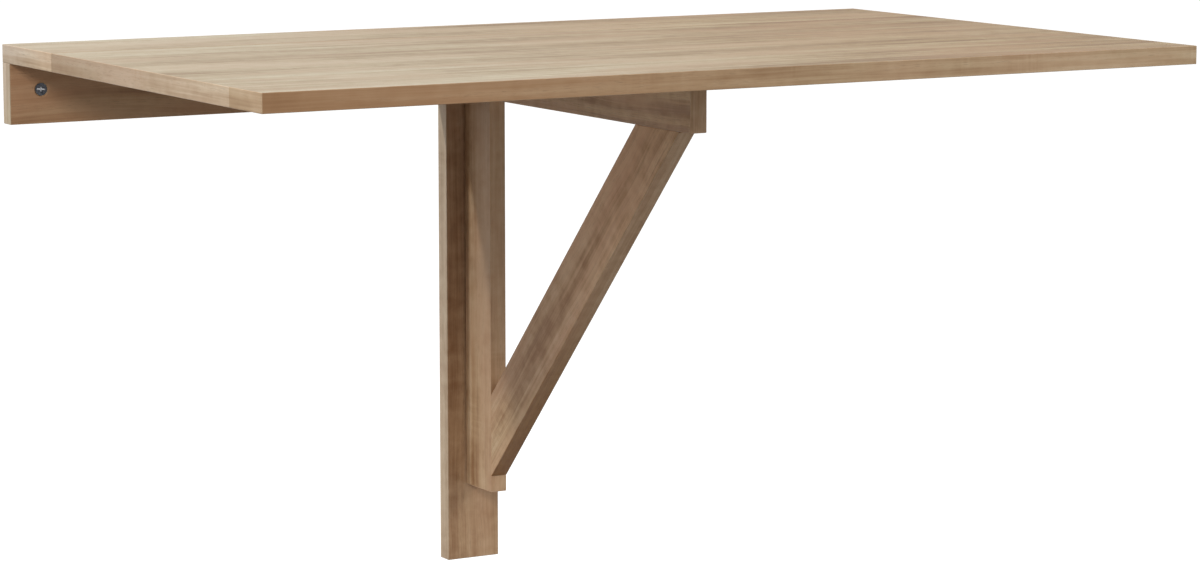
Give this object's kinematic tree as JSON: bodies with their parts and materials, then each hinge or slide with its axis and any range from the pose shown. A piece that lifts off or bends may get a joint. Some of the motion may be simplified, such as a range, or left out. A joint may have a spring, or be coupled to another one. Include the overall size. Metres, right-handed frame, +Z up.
{
  "type": "wall mounted drop leaf table",
  "caption": "Wall mounted table whose hinged leaf continues a fixed shelf and rail, carried by a swing-out triangular gate on a wall post.",
  "frame": {"origin": "on the wall plane at mid width, level with the rail's wall screws", "axes": "+X along the wall to the right as seen from the room, +Y into the wall, +Z up"},
  "size_m": [1, 0.643, 0.565],
  "materials": {
    "oak_board": "matt oak foil, straight grain",
    "hinge_steel": "zinc plated, satin",
    "dark_steel": "dark steel, satin",
    "zinc": "cast zinc, dull",
    "beech": "bare wood",
    "nylon": "moulded nylon, satin"
  },
  "bodies": {
    "wall_frame": {"fixed_shelf": "oak_board", "gate_hinge_lower_pin": "hinge_steel", "gate_hinge_lower_post_plate": "hinge_steel", "gate_hinge_post_screws": "hinge_steel", "gate_hinge_upper_pin": "hinge_steel", "gate_hinge_upper_post_plate": "hinge_steel", "leaf_hinge_left_pin": "hinge_steel", "leaf_hinge_left_shelf_plate": "hinge_steel", "leaf_hinge_middle_pin": "hinge_steel", "leaf_hinge_middle_shelf_plate": "hinge_steel", "leaf_hinge_right_pin": "hinge_steel", "leaf_hinge_right_shelf_plate": "hinge_steel", "leaf_hinge_shelf_screws": "hinge_steel", "post_dowels": "beech", "post_wall_screws": "dark_steel", "rail_wall_screws": "dark_steel", "shelf_cam_bolts": "zinc", "shelf_cam_locks": "zinc", "shelf_dowels": "beech", "wall_post": "oak_board", "wall_rail": "oak_board"},
    "leaf": {"drop_leaf": "oak_board", "leaf_hinge_leaf_screws": "hinge_steel", "leaf_hinge_left_leaf_plate": "hinge_steel", "leaf_hinge_middle_leaf_plate": "hinge_steel", "leaf_hinge_right_leaf_plate": "hinge_steel"},
    "gate": {"arm_dowels": "beech", "arm_glide": "nylon", "brace_foot_dowels": "beech", "brace_head_dowels": "beech", "gate_arm": "oak_board", "gate_brace": "oak_board", "gate_hinge_lower_stile_plate": "hinge_steel", "gate_hinge_stile_screws": "hinge_steel", "gate_hinge_upper_stile_plate": "hinge_steel", "gate_stile": "oak_board"}
  },
  "joints": [
    {"name": "gate_swing", "type": "hinge", "parent": "wall_frame", "child": "gate", "pos_m": [0.023, -0.022, 0], "axis": [0, 0, 1], "range_deg": [0, 90]},
    {"name": "leaf_lift", "type": "hinge", "parent": "wall_frame", "child": "leaf", "pos_m": [0, -0.128, 0.0265], "axis": [-1, 0, 0], "range_deg": [0, 1]}
  ]
}
